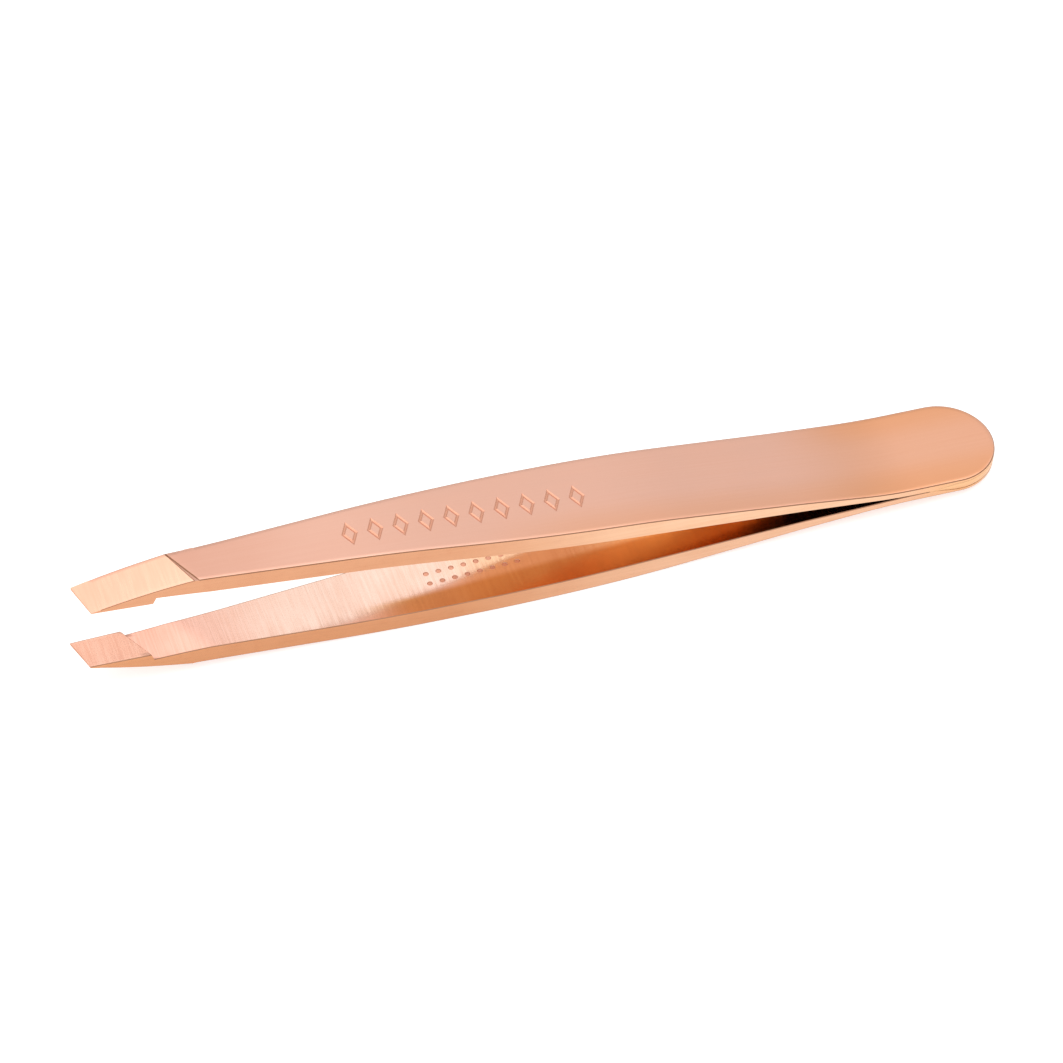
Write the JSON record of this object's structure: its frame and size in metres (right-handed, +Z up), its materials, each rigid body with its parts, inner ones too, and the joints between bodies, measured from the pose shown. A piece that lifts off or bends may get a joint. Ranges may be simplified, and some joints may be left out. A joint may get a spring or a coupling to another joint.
{
  "type": "slant-tip tweezers",
  "caption": "Sprung slant-tip tweezers: splayed steel arms welded at a rounded heel, with ground outer bevels and raised gripping pads.",
  "frame": {"origin": "under the middle of the length, on the surface that the lower arm's flat blade rests on", "axes": "+X from the tips to the heel, +Y towards the long corner of the slanted tips, +Z up from the lower arm to the upper arm"},
  "size_m": [0.0962, 0.0104, 0.0133],
  "materials": {
    "arms": "satin rose-gold coat, brushed along the faces",
    "weld": "ground and polished flush, rose-gold coat"
  },
  "bodies": {
    "heel": {"upper_heel_leaf": "arms", "lower_heel_leaf": "arms", "heel_weld": "weld"},
    "upper_arm": {"upper_arm": "arms"},
    "lower_arm": {"lower_arm": "arms"}
  },
  "joints": [
    {"name": "upper_arm_bend", "type": "hinge", "parent": "heel", "child": "upper_arm", "pos_m": [0.03206, 0, 0.00262], "axis": [0, -1, 0], "range_deg": [0, 2.77], "stiffness_Nm_per_rad": 1.8},
    {"name": "lower_arm_bend", "type": "hinge", "parent": "heel", "child": "lower_arm", "pos_m": [0.03201, 0, 0.00195], "axis": [0, 1, 0], "range_deg": [0, 2.77], "stiffness_Nm_per_rad": 1.8}
  ]
}
